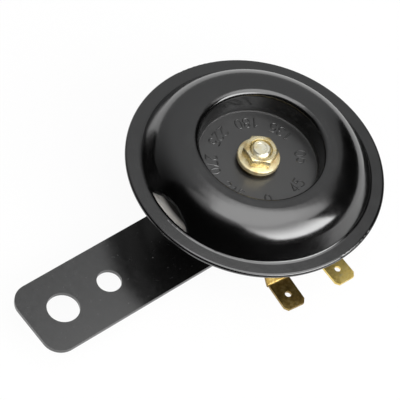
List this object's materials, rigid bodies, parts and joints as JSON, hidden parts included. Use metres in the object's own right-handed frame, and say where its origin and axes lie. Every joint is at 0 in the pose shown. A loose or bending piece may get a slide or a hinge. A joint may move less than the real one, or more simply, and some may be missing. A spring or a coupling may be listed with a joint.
{
  "type": "car horn",
  "caption": "Round electromagnetic disc horn with a black domed tone disc, a flat mounting strap and two blade terminals.",
  "frame": {"origin": "centre of the strap's large mounting hole, on the face that lies against the vehicle", "axes": "+Z along the sound axis, out of the front of the horn; +X from the large hole to the horn's axis; the terminals point along -Y"},
  "size_m": [0.103, 0.0693, 0.0368],
  "materials": {
    "disc_paint": "semi-gloss black stove enamel",
    "housing_paint": "semi-gloss black stove enamel",
    "bracket_paint": "semi-gloss black electrocoat",
    "yellow_zinc": "yellow chromated zinc plating, satin",
    "clear_zinc": "clear zinc plating, satin",
    "bright_steel": "bright rolled steel, satin",
    "turned_steel": "turned steel, bright",
    "terminal_brass": "rolled brass, dull and slightly tarnished",
    "contact_brass": "rolled brass",
    "contact_tungsten": "ground tungsten",
    "spring_steel": "blue-tempered spring steel",
    "phenolic": "brown phenolic laminate, matt",
    "gasket_fibre": "black fibre gasket",
    "bobbin_nylon": "natural nylon, moulded",
    "enamelled_copper": "enamelled copper wire, wound"
  },
  "bodies": {
    "housing": {"bracket": "bracket_paint", "housing": "housing_paint", "rim_gasket": "gasket_fibre", "clamp_ring": "bright_steel", "diaphragm": "bright_steel", "pole_core": "clear_zinc", "coil_bobbin": "bobbin_nylon", "coil_winding": "enamelled_copper", "bracket_lock_washer": "yellow_zinc", "bracket_nut": "yellow_zinc", "fixed_contact": "contact_tungsten", "breaker_insulator_lower": "phenolic", "breaker_insulator_upper": "phenolic", "breaker_outer_washer": "phenolic", "breaker_rivet": "contact_brass", "contact_support": "contact_brass", "support_insulator": "phenolic", "terminal_board": "phenolic", "terminal_a": "terminal_brass", "terminal_b": "terminal_brass", "terminal_insulator": "phenolic", "terminal_rivet_a": "contact_brass", "terminal_rivet_b": "contact_brass", "adjusting_screw": "yellow_zinc", "coil_lead_start": "enamelled_copper", "coil_lead_end": "enamelled_copper"},
    "tone_disc_group": {"tone_disc": "disc_paint", "front_nut": "yellow_zinc", "dished_washer": "yellow_zinc", "front_washer": "yellow_zinc", "spacer_collar": "clear_zinc", "front_hub_washer": "clear_zinc", "rear_hub_washer": "clear_zinc", "armature": "turned_steel", "armature_stud": "yellow_zinc"},
    "breaker_arm": {"breaker_arm": "spring_steel", "moving_contact": "contact_tungsten", "breaker_pad": "phenolic"}
  },
  "joints": [
    {"name": "armature_stroke", "type": "slide", "parent": "housing", "child": "tone_disc_group", "axis": [0, 0, 1], "range_m": [-0.0004, 0], "stiffness_N_per_m": 8000, "springref_m": 0.0003, "deforming": ["diaphragm"]},
    {"name": "breaker_opening", "type": "hinge", "parent": "housing", "child": "breaker_arm", "pos_m": [0.07169, 0.01724, 0.01254], "axis": [0.9848, -0.1736, 0], "range_deg": [0, 1.21]}
  ],
  "couplings": [
    {"joint": "breaker_opening", "follows": "armature_stroke", "rad_per_m": -52.149}
  ]
}
